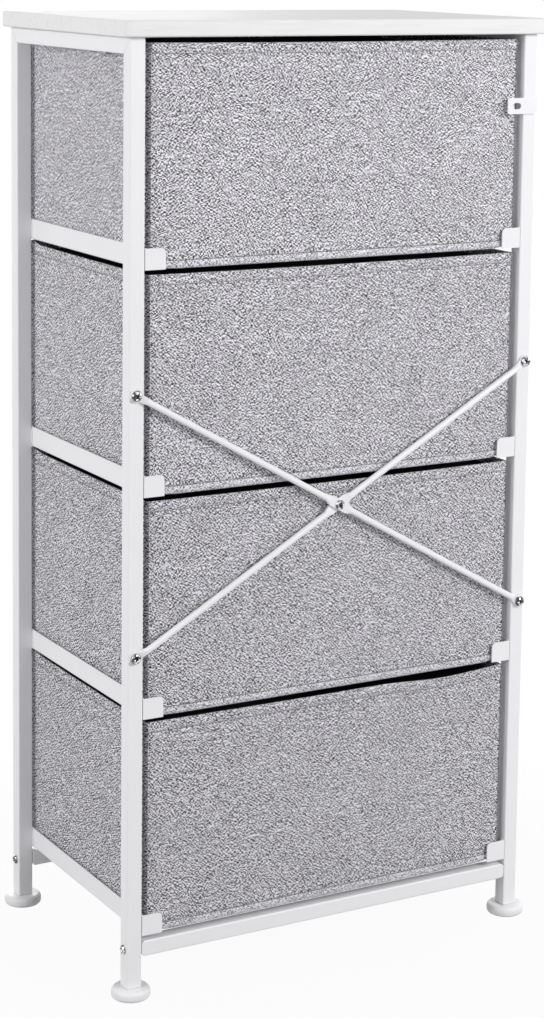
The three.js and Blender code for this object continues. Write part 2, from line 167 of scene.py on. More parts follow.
def laminate(name):
    """White laminate with a faint grain along the top's width."""
    g = Graph(name)
    fibres = g.noise(g.place((1.6, 26, 26)), scale=9, detail=6, roughness=0.62)
    bands = g.noise(g.place((0.5, 9, 9)), scale=5, detail=3)
    pores = g.noise(g.place((6, 120, 120)), scale=9, roughness=0.6)
    streak = g.between(fibres, 0.50, 0.72)
    tone = g.math("ADD", g.math("MULTIPLY", streak, 0.55), g.math("MULTIPLY", bands, 0.35))
    tone = g.math("ADD", tone, g.between(pores, 0.60, 0.75, 0.0, 0.25), clamp=True)
    colour = g.ramp(tone, [
        (0.0, (0.83, 0.83, 0.832)), (0.5, (0.78, 0.78, 0.784)), (1.0, (0.66, 0.66, 0.666))])
    height = g.math("ADD", fibres, g.math("MULTIPLY", pores, 0.5))
    return g.finish(
        Base_Color=colour, Roughness=g.mix(streak, 0.58, 0.68), Specular_IOR_Level=0.2,
        Normal=g.bump(height, strength=0.12, distance=0.2 * MM))


def moulded_plastic(name, level):
    """Matte moulded plastic with a fine spark texture and soft clouding."""
    g = Graph(name)
    place = g.place()
    cloud = g.noise(place, scale=60, detail=3)
    spark = g.noise(place, scale=2200, roughness=0.6)
    worn = g.between(g.noise(place, scale=220, detail=4, roughness=0.7), 0.60, 0.80)
    tone = g.math("SUBTRACT", cloud, g.math("MULTIPLY", worn, 0.6), clamp=True)
    return g.finish(
        Base_Color=g.ramp(tone, [(0.0, grey(level * 0.92, green=1.0)), (1.0, grey(level * 1.02, green=1.0))]),
        Roughness=g.mix(cloud, 0.42, 0.56), Normal=g.bump(spark, strength=0.12, distance=0.2 * MM))


def plated_steel(name, level):
    """Zinc or chrome plate with painted reflections in dark and bright patches, fine scratches and a slight
    haze.
    """
    g = Graph(name)
    place = g.place()
    haze = g.noise(place, scale=500, detail=3)
    scratch = g.noise(g.place((1, 1, 9)), scale=1500, roughness=0.6)
    tone = g.math("SUBTRACT", haze, g.between(scratch, 0.66, 0.74, 0.0, 0.4), clamp=True)
    # Painted reflections: dark and bright patches of colour, as if the plate mirrored dark and bright
    # surroundings.
    painted_reflections = g.between(g.noise(place, scale=330, detail=1), 0.38, 0.62, 0.0, 0.8)
    tone = g.math("ADD", g.math("MULTIPLY", tone, 0.2), painted_reflections, clamp=True)
    shares = ((0.0, 0.12), (0.45, 0.3), (0.6, 1.0), (1.0, 1.5))
    return g.finish(
        Base_Color=g.ramp(tone, [(stop, grey(level * share)) for stop, share in shares]),
        Metallic=1.0, Roughness=g.mix(haze, 0.10, 0.22),
        Normal=g.bump(scratch, strength=0.08, distance=0.1 * MM))


WOBBLE_ACROSS = 0.5  # threads, the most that the weave wanders along the rows
WOBBLE_UP = 0.4
SLUB_THREADS = 16.0  # length of a streak along the weft
SLUB_ROWS = 1.5  # and its height
CLOUD_TONE = 0.04
START_REACH = 50.0  # threads, the most that the flecks of a pair of threads are shifted
WEFT_SEED = 3.0
CROSSING_SEED = 5.0
WARP_SEED = 7.0
SLUB_SEED = 13.0


def woven(name, warp_pitch, weft_pitch, run, weft_share, stops, seed, painted_gap_shade=0.15, relief=0.25, slub=0.14):
    """A plain weave of flecked yarn over the cloth's map. Threads lie in pairs, one light where the other is
    dark, and flecks alternate along a thread. run is a fleck's length in threads, weft_share of the warp's
    crossings show weft instead, and slub is how far longer streaks along the weft change the tone."""
    g = Graph(name)
    across, up, uv = g.cloth_place()
    wobble = g.noise(uv, scale=55)
    across = g.math("ADD", g.math("DIVIDE", across, warp_pitch), g.math("MULTIPLY", wobble, WOBBLE_ACROSS))
    up = g.math("ADD", g.math("DIVIDE", up, weft_pitch), g.math("MULTIPLY", wobble, WOBBLE_UP))
    column = g.math("FLOOR", across)
    row = g.math("FLOOR", up)
    weft = flecks(g, across, row, run, WEFT_SEED, seed)
    warp = flecks(g, up, column, run, WARP_SEED, seed)
    shown = g.math("LESS_THAN", g.random(column, row, seed + CROSSING_SEED), weft_share)
    over = g.math("MAXIMUM", g.math("PINGPONG", g.math("ADD", column, row), 1.0), shown)
    ridge = g.mix(over, thread_crown(g, across), thread_crown(g, up))
    slub_row = g.math("FLOOR", g.math("DIVIDE", up, SLUB_ROWS))
    thick = flecks(g, across, slub_row, SLUB_THREADS, SLUB_SEED, seed)
    cloud = g.noise(uv, scale=16, detail=3)
    tone = g.math("ADD", g.mix(over, warp, weft), g.mix(thick, -slub / 2, slub / 2))
    tone = g.math("ADD", tone, g.mix(cloud, -CLOUD_TONE, CLOUD_TONE), clamp=True)
    # Painted shade: a per-bin attribute darkens the lower bins' cloth, as if the light fell off towards the
    # floor.
    painted_falloff_shade = g.add("Attribute", attribute_name="painted_falloff_shade").outputs["Fac"]
    # Painted shade: the colour is darker between threads, where the thread crowns meet.
    painted_shade = g.math("MULTIPLY", g.mix(ridge, 1.0 - painted_gap_shade, 1.0), painted_falloff_shade)
    shaded = g.add("Mix", {0: 1.0, 6: g.ramp(tone, stops), 7: painted_shade}, data_type="RGBA", blend_type="MULTIPLY")
    return g.finish(
        Base_Color=shaded.outputs[2], Roughness=g.mix(tone, 0.96, 0.86), Sheen_Weight=0.1,
        Sheen_Roughness=0.6, Specular_IOR_Level=0.15, Normal=g.bump(ridge, relief, distance=0.4 * MM))


def flecks(g, along, thread, run, own_seed, seed):
    """The tone of a thread's flecks, each run long. The next fleck and the next thread have the opposite."""
    pair = g.math("FLOOR", g.math("DIVIDE", thread, 2.0))
    start = g.math("MULTIPLY", g.random(pair, own_seed, seed), START_REACH)
    place = g.math("FLOOR", g.math("DIVIDE", g.math("ADD", along, start), run))
    value = g.random(g.math("FLOOR", g.math("DIVIDE", place, 2.0)), pair, own_seed + seed)
    turned = g.math("PINGPONG", g.math("ADD", place, thread), 1.0)
    return g.mix(turned, value, g.math("SUBTRACT", 1.0, value))


def thread_crown(g, place):
    """1 on the middle of each thread, 0 between threads."""
    side = g.math("SUBTRACT", g.math("MULTIPLY", g.math("FRACT", place), 2.0), 1.0)
    return g.math("SUBTRACT", 1.0, g.math("MULTIPLY", side, side))


LINING_DOT_PITCH = 1.6 * MM


def lining(name):
    """Nonwoven lining with rows of small embossed dots. Its near-black colour is painted shade for the
    insides of the bins, and each dot's dent is painted darker as shade.
    """
    g = Graph(name)
    across, up, uv = g.cloth_place()
    cells = [g.math("FRACT", g.math("DIVIDE", place, LINING_DOT_PITCH)) for place in (across, up)]
    sides = [g.math("SUBTRACT", cell, 0.5) for cell in cells]
    distance = g.math("SQRT", g.math("ADD", *[g.math("MULTIPLY", side, side) for side in sides]))
    # Painted shade: each dot's dent is darker.
    dent_and_shade = g.between(distance, 0.16, 0.30)
    fibre = g.noise(uv, scale=700, detail=4, roughness=0.7)
    tone = g.math("MULTIPLY", g.mix(dent_and_shade, 0.55, 1.0), g.mix(fibre, 0.4, 1.0), clamp=True)
    return g.finish(
        # Painted shade: the near-black colours stand in for the shade inside the bins.
        Base_Color=g.ramp(tone, [(0.0, grey(0.035)), (1.0, grey(0.13))]),
        Roughness=g.mix(fibre, 0.85, 1.0), Specular_IOR_Level=0.2,
        Normal=g.bump(tone, strength=0.4, distance=0.3 * MM))


def fibreboard(name):
    """Pressed fibreboard: short fibres, specks and a matt face."""
    g = Graph(name)
    fibre = g.noise(g.place((1, 3, 6)), scale=260, detail=5, roughness=0.7)
    speck = g.between(g.noise(g.place(), scale=900), 0.62, 0.70)
    tone = g.math("SUBTRACT", fibre, g.math("MULTIPLY", speck, 0.3), clamp=True)
    return g.finish(
        Base_Color=g.ramp(tone, [(0.25, (0.20, 0.14, 0.09)), (0.75, (0.42, 0.32, 0.22))]),
        Roughness=g.mix(fibre, 0.75, 0.9), Normal=g.bump(fibre, strength=0.25, distance=0.3 * MM))


def thread(name, level):
    """Twisted sewing thread."""
    g = Graph(name)
    twist = g.noise(g.place(), scale=2600, detail=1)
    return g.finish(
        Base_Color=g.ramp(twist, [(0.3, grey(level * 0.7)), (0.7, grey(level))]),
        Roughness=g.mix(twist, 0.6, 0.8), Normal=g.bump(twist, strength=0.3, distance=0.2 * MM))


WARP_PITCH = 0.97 * MM
WEFT_PITCH = 0.93 * MM
FLECK_RUN = 1.5  # threads
WEFT_SHARE = 0.4
CLOTH_SLUB = 0.18
WEBBING_PITCH = 0.9 * MM
FLECKS = yarn_stops((0.0, 0.0), (0.39, 0.01), (0.45, 0.30), (0.50, 0.92), (1.0, 0.96))
SHADE_STRIP_FLECKS = yarn_stops((0.0, 0.01), (0.33, 0.02), (0.44, 0.10), (0.54, 0.32), (1.0, 0.45))
HEM_FLECKS = yarn_stops((0.0, 0.10), (0.33, 0.28), (0.44, 0.60), (0.54, 0.88), (1.0, 0.94))
STRAP_FLECKS = yarn_stops((0.0, 0.10), (0.35, 0.30), (0.70, 0.48), (1.0, 0.70))


def bin_cloth(name, stops, seed):
    return woven(name, WARP_PITCH, WEFT_PITCH, FLECK_RUN, WEFT_SHARE, stops, seed, slub=CLOTH_SLUB)


paint = painted_metal("white_powder_coat")
board = laminate("white_laminate")
plastic = moulded_plastic("white_plastic_moulded", level=0.84)
chrome = plated_steel("chrome_plate", level=0.5)
zinc = plated_steel("zinc_plate", level=0.6)
# Painted shade: a near-black plate for the deepest faces of the cross recesses.
recess_painted_shade = plated_steel("recess_painted_shade_plate", level=0.06)
cloth = bin_cloth("linen_fleck_fabric", FLECKS, seed=11.0)
# Painted shade: much darker flecks for the lines in the grooves of the hem and top, and for the bins' rounded
# corners.
shade_strip_cloth = bin_cloth("linen_fleck_painted_shade", SHADE_STRIP_FLECKS, seed=31.0)
hem_cloth = bin_cloth("linen_fleck_hem", HEM_FLECKS, seed=23.0)
# The webbing gets deeper painted shade between its threads.
webbing = woven(
    "grey_webbing", WEBBING_PITCH, WEBBING_PITCH, run=3.0, weft_share=0.0, stops=STRAP_FLECKS, seed=41.0,
    painted_gap_shade=0.45, relief=0.5)
lining_painted_shade = lining("nonwoven_lining_painted_shade")
hardboard = fibreboard("pressed_fibreboard")
seam_thread = thread("sewing_thread", level=0.62)

SLOT_MATERIALS = {
    "top_board": board, "white_metal": paint, "white_plastic": plastic, "chrome": chrome,
    "grey_fabric": cloth, "strap_webbing": webbing, "base_board": hardboard}

# Carried-over solids

WELD_REACH = 0.01 * MM
SHARP_ANGLE = math.radians(40)
EDGE_RADII = {
    "table_top": 0.4, "post": 0.25, "side_tube": 0.25, "crossbar_": 0.5, "rail": 0.35, "foot": 0.4,
    "wall_bracket": 0.35, "brace_rod": 0.3, "drawer_base": 0.4}  # mm
OTHER_EDGE_RADIUS = 0.15  # mm


def softened():
    """A node group that welds a solid's facets and shades it smooth up to sharp edges."""
    group = bpy.data.node_groups.new("weld_and_shade", "GeometryNodeTree")
    for direction in ("INPUT", "OUTPUT"):
        group.interface.new_socket("Geometry", in_out=direction, socket_type="NodeSocketGeometry")
    new = group.nodes.new
    start = new("NodeGroupInput")
    weld = new("GeometryNodeMergeByDistance")
    weld.inputs["Distance"].default_value = WELD_REACH
    faces = new("GeometryNodeSetShadeSmooth")
    angle = new("GeometryNodeInputMeshEdgeAngle")
    sharp = new("FunctionNodeCompare")
    sharp.inputs[1].default_value = SHARP_ANGLE
    edges = new("GeometryNodeSetShadeSmooth")
    edges.domain = "EDGE"
    edges.inputs["Shade Smooth"].default_value = False
    end = new("NodeGroupOutput")
    join = group.links.new
    join(start.outputs[0], weld.inputs["Geometry"])
    join(weld.outputs[0], faces.inputs["Geometry"])
    join(faces.outputs[0], edges.inputs["Geometry"])
    join(angle.outputs[0], sharp.inputs[0])
    join(sharp.outputs[0], edges.inputs["Selection"])
    join(edges.outputs[0], end.inputs[0])
    return group


def finish_solid(node, edge_radius, group):
    """Gives a carried-over solid soft edges and smooth roundings. Its mesh stays as packed."""
    weld = node.modifiers.new("weld_and_shade", "NODES")
    weld.node_group = group
    bevel = node.modifiers.new("soft_edges", "BEVEL")
    bevel.width = edge_radius
    bevel.segments = 3
    bevel.limit_method = "ANGLE"
    bevel.angle_limit = SHARP_ANGLE
    bevel.harden_normals = True
    normals = node.modifiers.new("even_normals", "WEIGHTED_NORMAL")
    normals.keep_sharp = True


weld_group = softened()
for name, node in nodes.items():
    for slot in node.material_slots:
        slot.material = SLOT_MATERIALS[slot.material.name]
    radius = next((r for start, r in EDGE_RADII.items() if name.startswith(start)), OTHER_EDGE_RADIUS)
    finish_solid(node, radius * MM, weld_group)

# Making meshes


def make_object(name, points, faces, materials, uvs=None, kinds=None, smooth=True, painted_falloff_shade=1.0):
    """A mesh object. uvs has one pair for each face corner, and kinds one material index for each face.
    Its last argument scales how light its cloth is, as painted shade that darkens the lower bins."""
    mesh = bpy.data.meshes.new(name)
    mesh.from_pydata([tuple(p) for p in points], [], faces)
    for material in materials:
        mesh.materials.append(material)
    if kinds:
        mesh.polygons.foreach_set("material_index", kinds)
    layer = mesh.uv_layers.new(name="cloth")
    if uvs:
        layer.data.foreach_set("uv", [value for pair in uvs for value in pair])
    mesh.attributes.new("painted_falloff_shade", "FLOAT", "POINT").data.foreach_set("value", [painted_falloff_shade] * len(points))
    mesh.polygons.foreach_set("use_smooth", [smooth] * len(faces))
    mesh.update()
    obj = bpy.data.objects.new(name, mesh)
    bpy.context.scene.collection.objects.link(obj)
    return obj


def ring_mesh(rings):
    """Points and faces of a closed tube through rings of equal length. Its last two faces cap the ends."""
    count = len(rings[0])
    points = [point for ring in rings for point in ring]
    faces = []
    for level in range(len(rings) - 1):
        for step in range(count):
            a = level * count + step
            b = level * count + (step + 1) % count
            faces.append((a, b, b + count, a + count))
    faces.append(tuple(reversed(range(count))))
    last = (len(rings) - 1) * count
    faces.append(tuple(range(last, last + count)))
    return points, faces


def ramp_up(value, reach):
    """0 up to 0, then evenly up to 1 at reach."""
    return min(1.0, max(0.0, value / reach))


# Bins

CLOTH, HEM, LINING, PAINTED_SHADE_STRIP = range(4)
BIN_MATERIALS = [cloth, hem_cloth, lining_painted_shade, shade_strip_cloth]

BIN_CORNER = 3.5 * MM
CORNER_STEPS = 6
SEAM_FROM_CORNER = 1.0 * MM
SEAM_HALF_WIDTH = 0.7 * MM
SEAM_DEPTH = 0.7 * MM
CORNER_SHADE_STRIP = 0.2 * MM  # from the end of a rounded corner to the edge of its strip of painted shade
SEAM_STATIONS = (0.3, 0.7, 1.0, 1.4, 1.9, 3.2, 8.0)  # mm from the end of a rounded corner
PANEL_STEP = 11 * MM
PANEL_BOW = 0.9 * MM
RIPPLE_HEIGHT = 0.35 * MM
BROAD_RIPPLE = (31, 27)  # radians for each metre along and up
BROAD_RIPPLE_TURNS = (1.7, 2.3)  # radians from one bin's ripple to the next, along and up
BROAD_RIPPLE_SHARE = 0.7
FINE_RIPPLE = (74, 19)
FINE_RIPPLE_TURN = 0.9
FULL_RIPPLE_MIDDLE = 1 / 3  # nearness to a panel's middle from which the ripple is at its full height
HEM_DROP = 2.1 * MM  # how far the lower hem hangs under the bin between the rails
HEM_DROP_END = 186 * MM  # from the bin's middle, clear of the rails' flanges
HEM_DROP_RAMP = 12 * MM
FRONT_RISE = 3.0 * MM  # of the stiff front panel's top edge over the others
FRONT_RISE_START = 108 * MM  # in front of the bin's middle, where the sides' edges start to rise
FRONT_RISE_RAMP = 18 * MM
SLACK_BIN = 4  # its rear top edge hangs down at one place
SLACK_PLACE = -128 * MM  # from the bin's middle along its width, and how far the slack reaches to each side
SLACK_REACH = 75 * MM
SLACK_DROP = 3.2 * MM
REARWARD = 0.9  # least rearward share of the direction out of a rear panel
LONG_PANEL_SAG = 0.9 * MM  # of the top edge's middle
SHORT_PANEL_SAG = 0.5 * MM
SIDE_GRAIN_SHARE = 0.72  # of the weave's fineness is left on the short panels
PAINTED_FALLOFF_SHARES = {1: 1.0, 2: 0.965, 3: 0.92, 4: 0.89}  # painted shade: how light each bin's cloth is beside the top one, darker lower down as if the light fell off towards the floor
PATTERN_SHIFT = 0.37  # metres of cloth from one bin's pattern to the next

# Height above the bin's foot and offset outwards, in mm, and share of the hem's drop
FOOT_PROFILE = [
    (0.5, -3.3, 0.0), (0.2, -2.9, 0.6), (0.0, -2.3, 1.0), (0.0, -1.5, 1.0), (0.5, -0.5, 1.0), (1.6, 0.3, 1.0),
    (3.2, 0.9, 1.0), (4.9, 0.9, 0.9), (5.7, 0.5, 0.7), (6.2, -0.8, 0.6), (6.9, -0.8, 0.5), (7.6, 0.0, 0.4),
    (9.0, 0.0, 0.25), (13.0, 0.0, 0.0)]
HEM_HEIGHT = 6.0  # mm, up to the end of the line of painted shade in the groove
HEM_LINE_HEIGHT = 6.5  # mm, up to the end of the dark line in the groove
# Height below the bin's top edge and offset outwards, in mm
TOP_PROFILE = [
    (12.0, 0.0), (10.0, 0.0), (9.3, -0.7), (8.6, 0.0), (7.4, 0.4), (5.0, 0.5), (2.6, 0.4), (1.0, 0.0),
    (0.3, -0.6), (0.0, -1.4), (0.2, -2.1), (0.9, -2.8), (2.4, -3.2), (7.6, -3.3), (9.3, -2.9), (11.0, -3.1)]
TOP_LINE_ROW = 1  # of the rows above: a line of painted shade in the groove under the folded edge
FOLD_ROWS = 14  # of the rows above: the cloth that is folded over the edge, before the lining starts
INNER_WALL = -3.05 * MM
INNER_FOOT = [(8.0, -3.05), (2.6, -3.1), (1.9, -3.2), (1.6, -3.4)]
OUTER_SKIN = -2.5 * MM  # offsets above this are on the outside
BODY_STEPS = 17


class Station(NamedTuple):
    """A place on a bin's outline."""
    place: Vector
    out: Vector
    middle: float  # nearness to its panel's middle, from 0 to 1
    seam: float  # how deep the corner seam is, from 0 to 1
    long_panel: bool
    at_corner: bool  # on a corner's strip of painted shade


class Row(NamedTuple):
    """A level of a bin's skin."""
    z: float
    offset: float
    drop: float  # share of the hem's drop
    sag: float  # share of the top edge's sag
    kind: int


def panel_outline(half_x, half_y):
    """Stations round a bin, anticlockwise."""
    stations = []
    sides = (
        ((1, 0), (0, 1), half_x, half_y), ((0, 1), (-1, 0), half_y, half_x),
        ((-1, 0), (0, -1), half_x, half_y), ((0, -1), (1, 0), half_y, half_x))
    for out, along, reach, half in sides:
        out = Vector(out)
        along = Vector(along)
        long_panel = out.x == 0
        run = half - BIN_CORNER
        first = SEAM_STATIONS[-1] * MM
        inner = 2 * run - 2 * first
        count = round(inner / PANEL_STEP)
        ends = [s * MM for s in SEAM_STATIONS[:-1]]
        middle = [first + inner * k / count for k in range(count + 1)]
        for s in [0.0, *ends, *middle, *[2 * run - e for e in reversed(ends)]]:
            t = s / (2 * run)
            from_corner = min(s, 2 * run - s)
            seam = math.exp(-(((from_corner - SEAM_FROM_CORNER) / SEAM_HALF_WIDTH) ** 2))
            place = out * reach + along * (s - run)
            stations.append(Station(place, out, 4 * t * (1 - t), seam, long_panel, from_corner < CORNER_SHADE_STRIP))
        centre = out * (reach - BIN_CORNER) + along * run
        for k in range(CORNER_STEPS):
            angle = k / CORNER_STEPS * math.pi / 2
            direction = out * math.cos(angle) + along * math.sin(angle)
            stations.append(Station(centre + direction * BIN_CORNER, direction, 0.0, 0.0, long_panel, True))
    return stations


def ripple(place, height, number):
    """Slight unevenness of a stiffened cloth panel, from -1 to 1."""
    along = place.x - place.y
    across, up = BROAD_RIPPLE
    turn_across, turn_up = BROAD_RIPPLE_TURNS
    broad = math.sin(along * across + number * turn_across) * math.sin(height * up + number * turn_up)
    across, up = FINE_RIPPLE
    fine = math.sin(along * across + height * up + number * FINE_RIPPLE_TURN)
    return BROAD_RIPPLE_SHARE * broad + (1 - BROAD_RIPPLE_SHARE) * fine


def top_share(z, height):
    """0 up to half of a bin's height, and 1 at its top edge."""
    return max(0.0, z / height * 2 - 1) ** 2


def foot_kind(z):
    """The material at z mm above a bin's foot."""
    if z < HEM_HEIGHT:
        return HEM
    return PAINTED_SHADE_STRIP if z < HEM_LINE_HEIGHT else CLOTH


def top_kind(number):
    """The material at a row of the top's profile."""
    if number >= FOLD_ROWS:
        return LINING
    return PAINTED_SHADE_STRIP if number == TOP_LINE_ROW else CLOTH


def bin_rows(height):
    """Rows of a bin's skin from under its foot, up, over the top edge and down inside."""
    rows = [Row(z * MM, off * MM, drop, 0.0, foot_kind(z)) for z, off, drop in FOOT_PROFILE]
    low = FOOT_PROFILE[-1][0] * MM
    high = height - TOP_PROFILE[0][0] * MM
    for k in range(1, BODY_STEPS):
        z = low + (high - low) * k / BODY_STEPS
        rows.append(Row(z, 0.0, 0.0, top_share(z, height), CLOTH))
    for number, (below, off) in enumerate(TOP_PROFILE):
        z = height - below * MM
        rows.append(Row(z, off * MM, 0.0, top_share(z, height), top_kind(number)))
    low = INNER_FOOT[0][0] * MM
    for k in range(1, BODY_STEPS):
        z = high + (low - high) * k / BODY_STEPS
        rows.append(Row(z, INNER_WALL, 0.0, top_share(z, height), LINING))
    return rows + [Row(z * MM, off * MM, 0.0, 0.0, LINING) for z, off in INNER_FOOT]


def bin_point(station, row, height, number):
    """Where a station and a row of a bin's skin meet, from the middle of the bin's foot."""
    place = station.place
    z = row.z
    belly = math.sin(math.pi * ramp_up(z, height))
    push = row.offset + station.middle * belly * PANEL_BOW
    fade = ramp_up(station.middle, FULL_RIPPLE_MIDDLE)
    push += ripple(place, z, number) * RIPPLE_HEIGHT * fade * belly
    if row.offset > OUTER_SKIN:
        push -= station.seam * SEAM_DEPTH
    z -= row.sag * station.middle * (LONG_PANEL_SAG if station.long_panel else SHORT_PANEL_SAG)
    z += row.sag * ramp_up(-FRONT_RISE_START - place.y, FRONT_RISE_RAMP) * FRONT_RISE
    if number == SLACK_BIN and station.out.y > REARWARD:
        near = max(0.0, 1 - abs(place.x - SLACK_PLACE) / SLACK_REACH)
        z -= row.sag * near * near * (3 - 2 * near) * SLACK_DROP
    if station.long_panel:
        z -= row.drop * HEM_DROP * ramp_up(HEM_DROP_END - abs(place.x), HEM_DROP_RAMP)
    flat = place + station.out * push
    return Vector((flat.x, flat.y, z))


def bin_cloth_map(points, faces, stations, rows, number):
    """The cloth's map and the material of each face of a bin's skin."""
    count = len(stations)
    along = [PATTERN_SHIFT * number]
    for k, station in enumerate(stations):
        grain = 1.0 if station.long_panel else SIDE_GRAIN_SHARE
        along.append(along[-1] + (stations[(k + 1) % count].place - station.place).length * grain)
    up = [0.0]
    for a, b in zip(rows, rows[1:]):
        up.append(up[-1] + math.hypot(b.z - a.z, b.offset - a.offset))
    uvs = []
    kinds = []
    for level, row in enumerate(rows[:-1]):
        low, high = up[level], up[level + 1]
        for step, station in enumerate(stations):
            left, right = along[step], along[step + 1]
            uvs += [(left, low), (right, low), (right, high), (left, high)]
            # Faces on a rounded corner's strip take the painted shade cloth.
            at_corner = station.at_corner and stations[(step + 1) % count].at_corner
            kinds.append(PAINTED_SHADE_STRIP if at_corner and row.kind == CLOTH else row.kind)
    for face, kind in zip(faces[-2:], (CLOTH, LINING)):
        uvs += [(points[k].x, points[k].y) for k in face]
        kinds.append(kind)
    return uvs, kinds


def make_bin(number):
    """A bin's skin. Returns what its stitching needs."""
    low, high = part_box(f"drawer_bin_{number}")
    height = high.z - low.z
    centre = Vector(((low.x + high.x) / 2, (low.y + high.y) / 2, low.z))
    stations = panel_outline((high.x - low.x) / 2, (high.y - low.y) / 2)
    rows = bin_rows(height)
    rings = [[centre + bin_point(station, row, height, number) for station in stations] for row in rows]
    points, faces = ring_mesh(rings)
    uvs, kinds = bin_cloth_map(points, faces, stations, rows, number)
    piece = make_object(
        f"fabric_bin_{number}", points, faces, BIN_MATERIALS, uvs, kinds, painted_falloff_shade=PAINTED_FALLOFF_SHARES[number])
    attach(piece, f"drawer_{number}")
    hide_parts(f"drawer_bin_{number}")
    return centre, stations, height


# Stitching

STITCH_LENGTH = 2.7 * MM
STITCH_PITCH = 3.7 * MM
STITCH_RADIUS = 0.28 * MM
STITCH_SIDES = 5
# Each ring's place as a share of half the length, and its size and lift as shares of the radius
STITCH_RINGS = ((-1.0, 0.35, -0.9), (-0.55, 0.95, 0.0), (0.55, 0.95, 0.0), (1.0, 0.35, -0.9))
STITCH_PROUD = 0.12 * MM  # of the bin's cloth
STITCH_TOP = 9.3 * MM  # below the top edge
STITCH_BOTTOM = 6.4 * MM


def stitch(points, faces, middle, along, out, length=STITCH_LENGTH):
    """Adds one stitch: a short bead of thread whose ends dip into the cloth."""
    across = along.cross(out)
    rings = []
    for share, size, lift in STITCH_RINGS:
        centre = middle + along * (share * length / 2) + out * (lift * STITCH_RADIUS)
        ring = []
        for side in range(STITCH_SIDES):
            angle = side / STITCH_SIDES * 2 * math.pi
            ring.append(centre + (out * math.cos(angle) + across * math.sin(angle)) * STITCH_RADIUS * size)
        rings.append(ring)
    add_mesh(points, faces, *ring_mesh(rings))


def add_mesh(points, faces, more_points, more_faces):
    """Adds a mesh to the lists of points and faces."""
    offset = len(points)
    points += more_points
    faces += [tuple(k + offset for k in face) for face in more_faces]


def sew_round(points, faces, path, outs):
    """Stitches along a closed path at an even pitch."""
    lengths = [(b - a).length for a, b in zip(path, path[1:] + path[:1])]
    total = sum(lengths)
    count = int(total / STITCH_PITCH)
    edge = 0
    passed = 0.0
    for k in range(count):
        goal = (k + 0.5) * total / count
        while passed + lengths[edge] < goal:
            passed += lengths[edge]
            edge += 1
        after = (edge + 1) % len(path)
        share = (goal - passed) / lengths[edge]
        out = outs[edge].lerp(outs[after], share).normalized()
        along = (path[after] - path[edge]).normalized()
        square_out = (out - along * out.dot(along)).normalized()
        stitch(points, faces, path[edge].lerp(path[after], share), along, square_out)


def sew_bin(number, centre, stations, height):
    """Two lines of stitches round a bin: over the hem and under the top edge."""
    points = []
    faces = []
    outside = [row for row in bin_rows(height) if row.kind != LINING]
    outs = [Vector((station.out.x, station.out.y, 0)) for station in stations]
    for goal in (STITCH_BOTTOM, height - STITCH_TOP):
        row = min(outside, key=lambda row: abs(row.z - goal))
        skin = [centre + bin_point(station, row, height, number) for station in stations]
        sew_round(points, faces, [p + out * STITCH_PROUD for p, out in zip(skin, outs)], outs)
    piece = make_object(f"bin_stitching_{number}", points, faces, [seam_thread])
    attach(piece, f"drawer_{number}")


# Pulls

STRAP_SEWN = 17 * MM
STRAP_THICKNESS = 1.6 * MM
STRAP_PUFF = 0.15 * MM  # of the webbing's middle over its edges
STRAP_STATIONS = 56
STRAP_EDGE_STEPS = 5
STRAP_INSET = 2.6 * MM  # of the stitched box from the strap's edges
STRAP_STITCH_LENGTH = 2.2 * MM
STRAP_STITCH_PITCH = 3.0 * MM
STRAP_STITCH_PROUD = 0.2 * MM  # of the webbing


def strap_curve(x, bowed, bulge):
    """How far a strap stands off at x from its middle."""
    if abs(x) >= bowed:
        return 0.0
    return bulge * math.cos(x / bowed * math.pi / 2) ** 2


def strap_section(half_width):
    """Round-edged section of the webbing: how far off its middle layer, and how far up."""
    half_thickness = STRAP_THICKNESS / 2
    section = []
    for side in (1, -1):
        for k in range(STRAP_EDGE_STEPS):
            angle = side * math.pi / 2 - k / (STRAP_EDGE_STEPS - 1) * math.pi
            up = half_width - half_thickness + math.cos(angle) * half_thickness
            section.append((math.sin(angle) * half_thickness, -side * up))
    return section


def strap_map(points, faces, lengths, section):
    """The cloth's map of a strap."""
    around = [0.0]
    for a, b in zip(section, section[1:] + section[:1]):
        around.append(around[-1] + math.hypot(b[0] - a[0], b[1] - a[1]))
    uvs = []
    for near, far in zip(lengths, lengths[1:]):
        for low, high in zip(around, around[1:]):
            uvs += [(near, low), (near, high), (far, high), (far, low)]
    for face in faces[-2:]:
        uvs += [(points[k].y, points[k].z) for k in face]
    return uvs


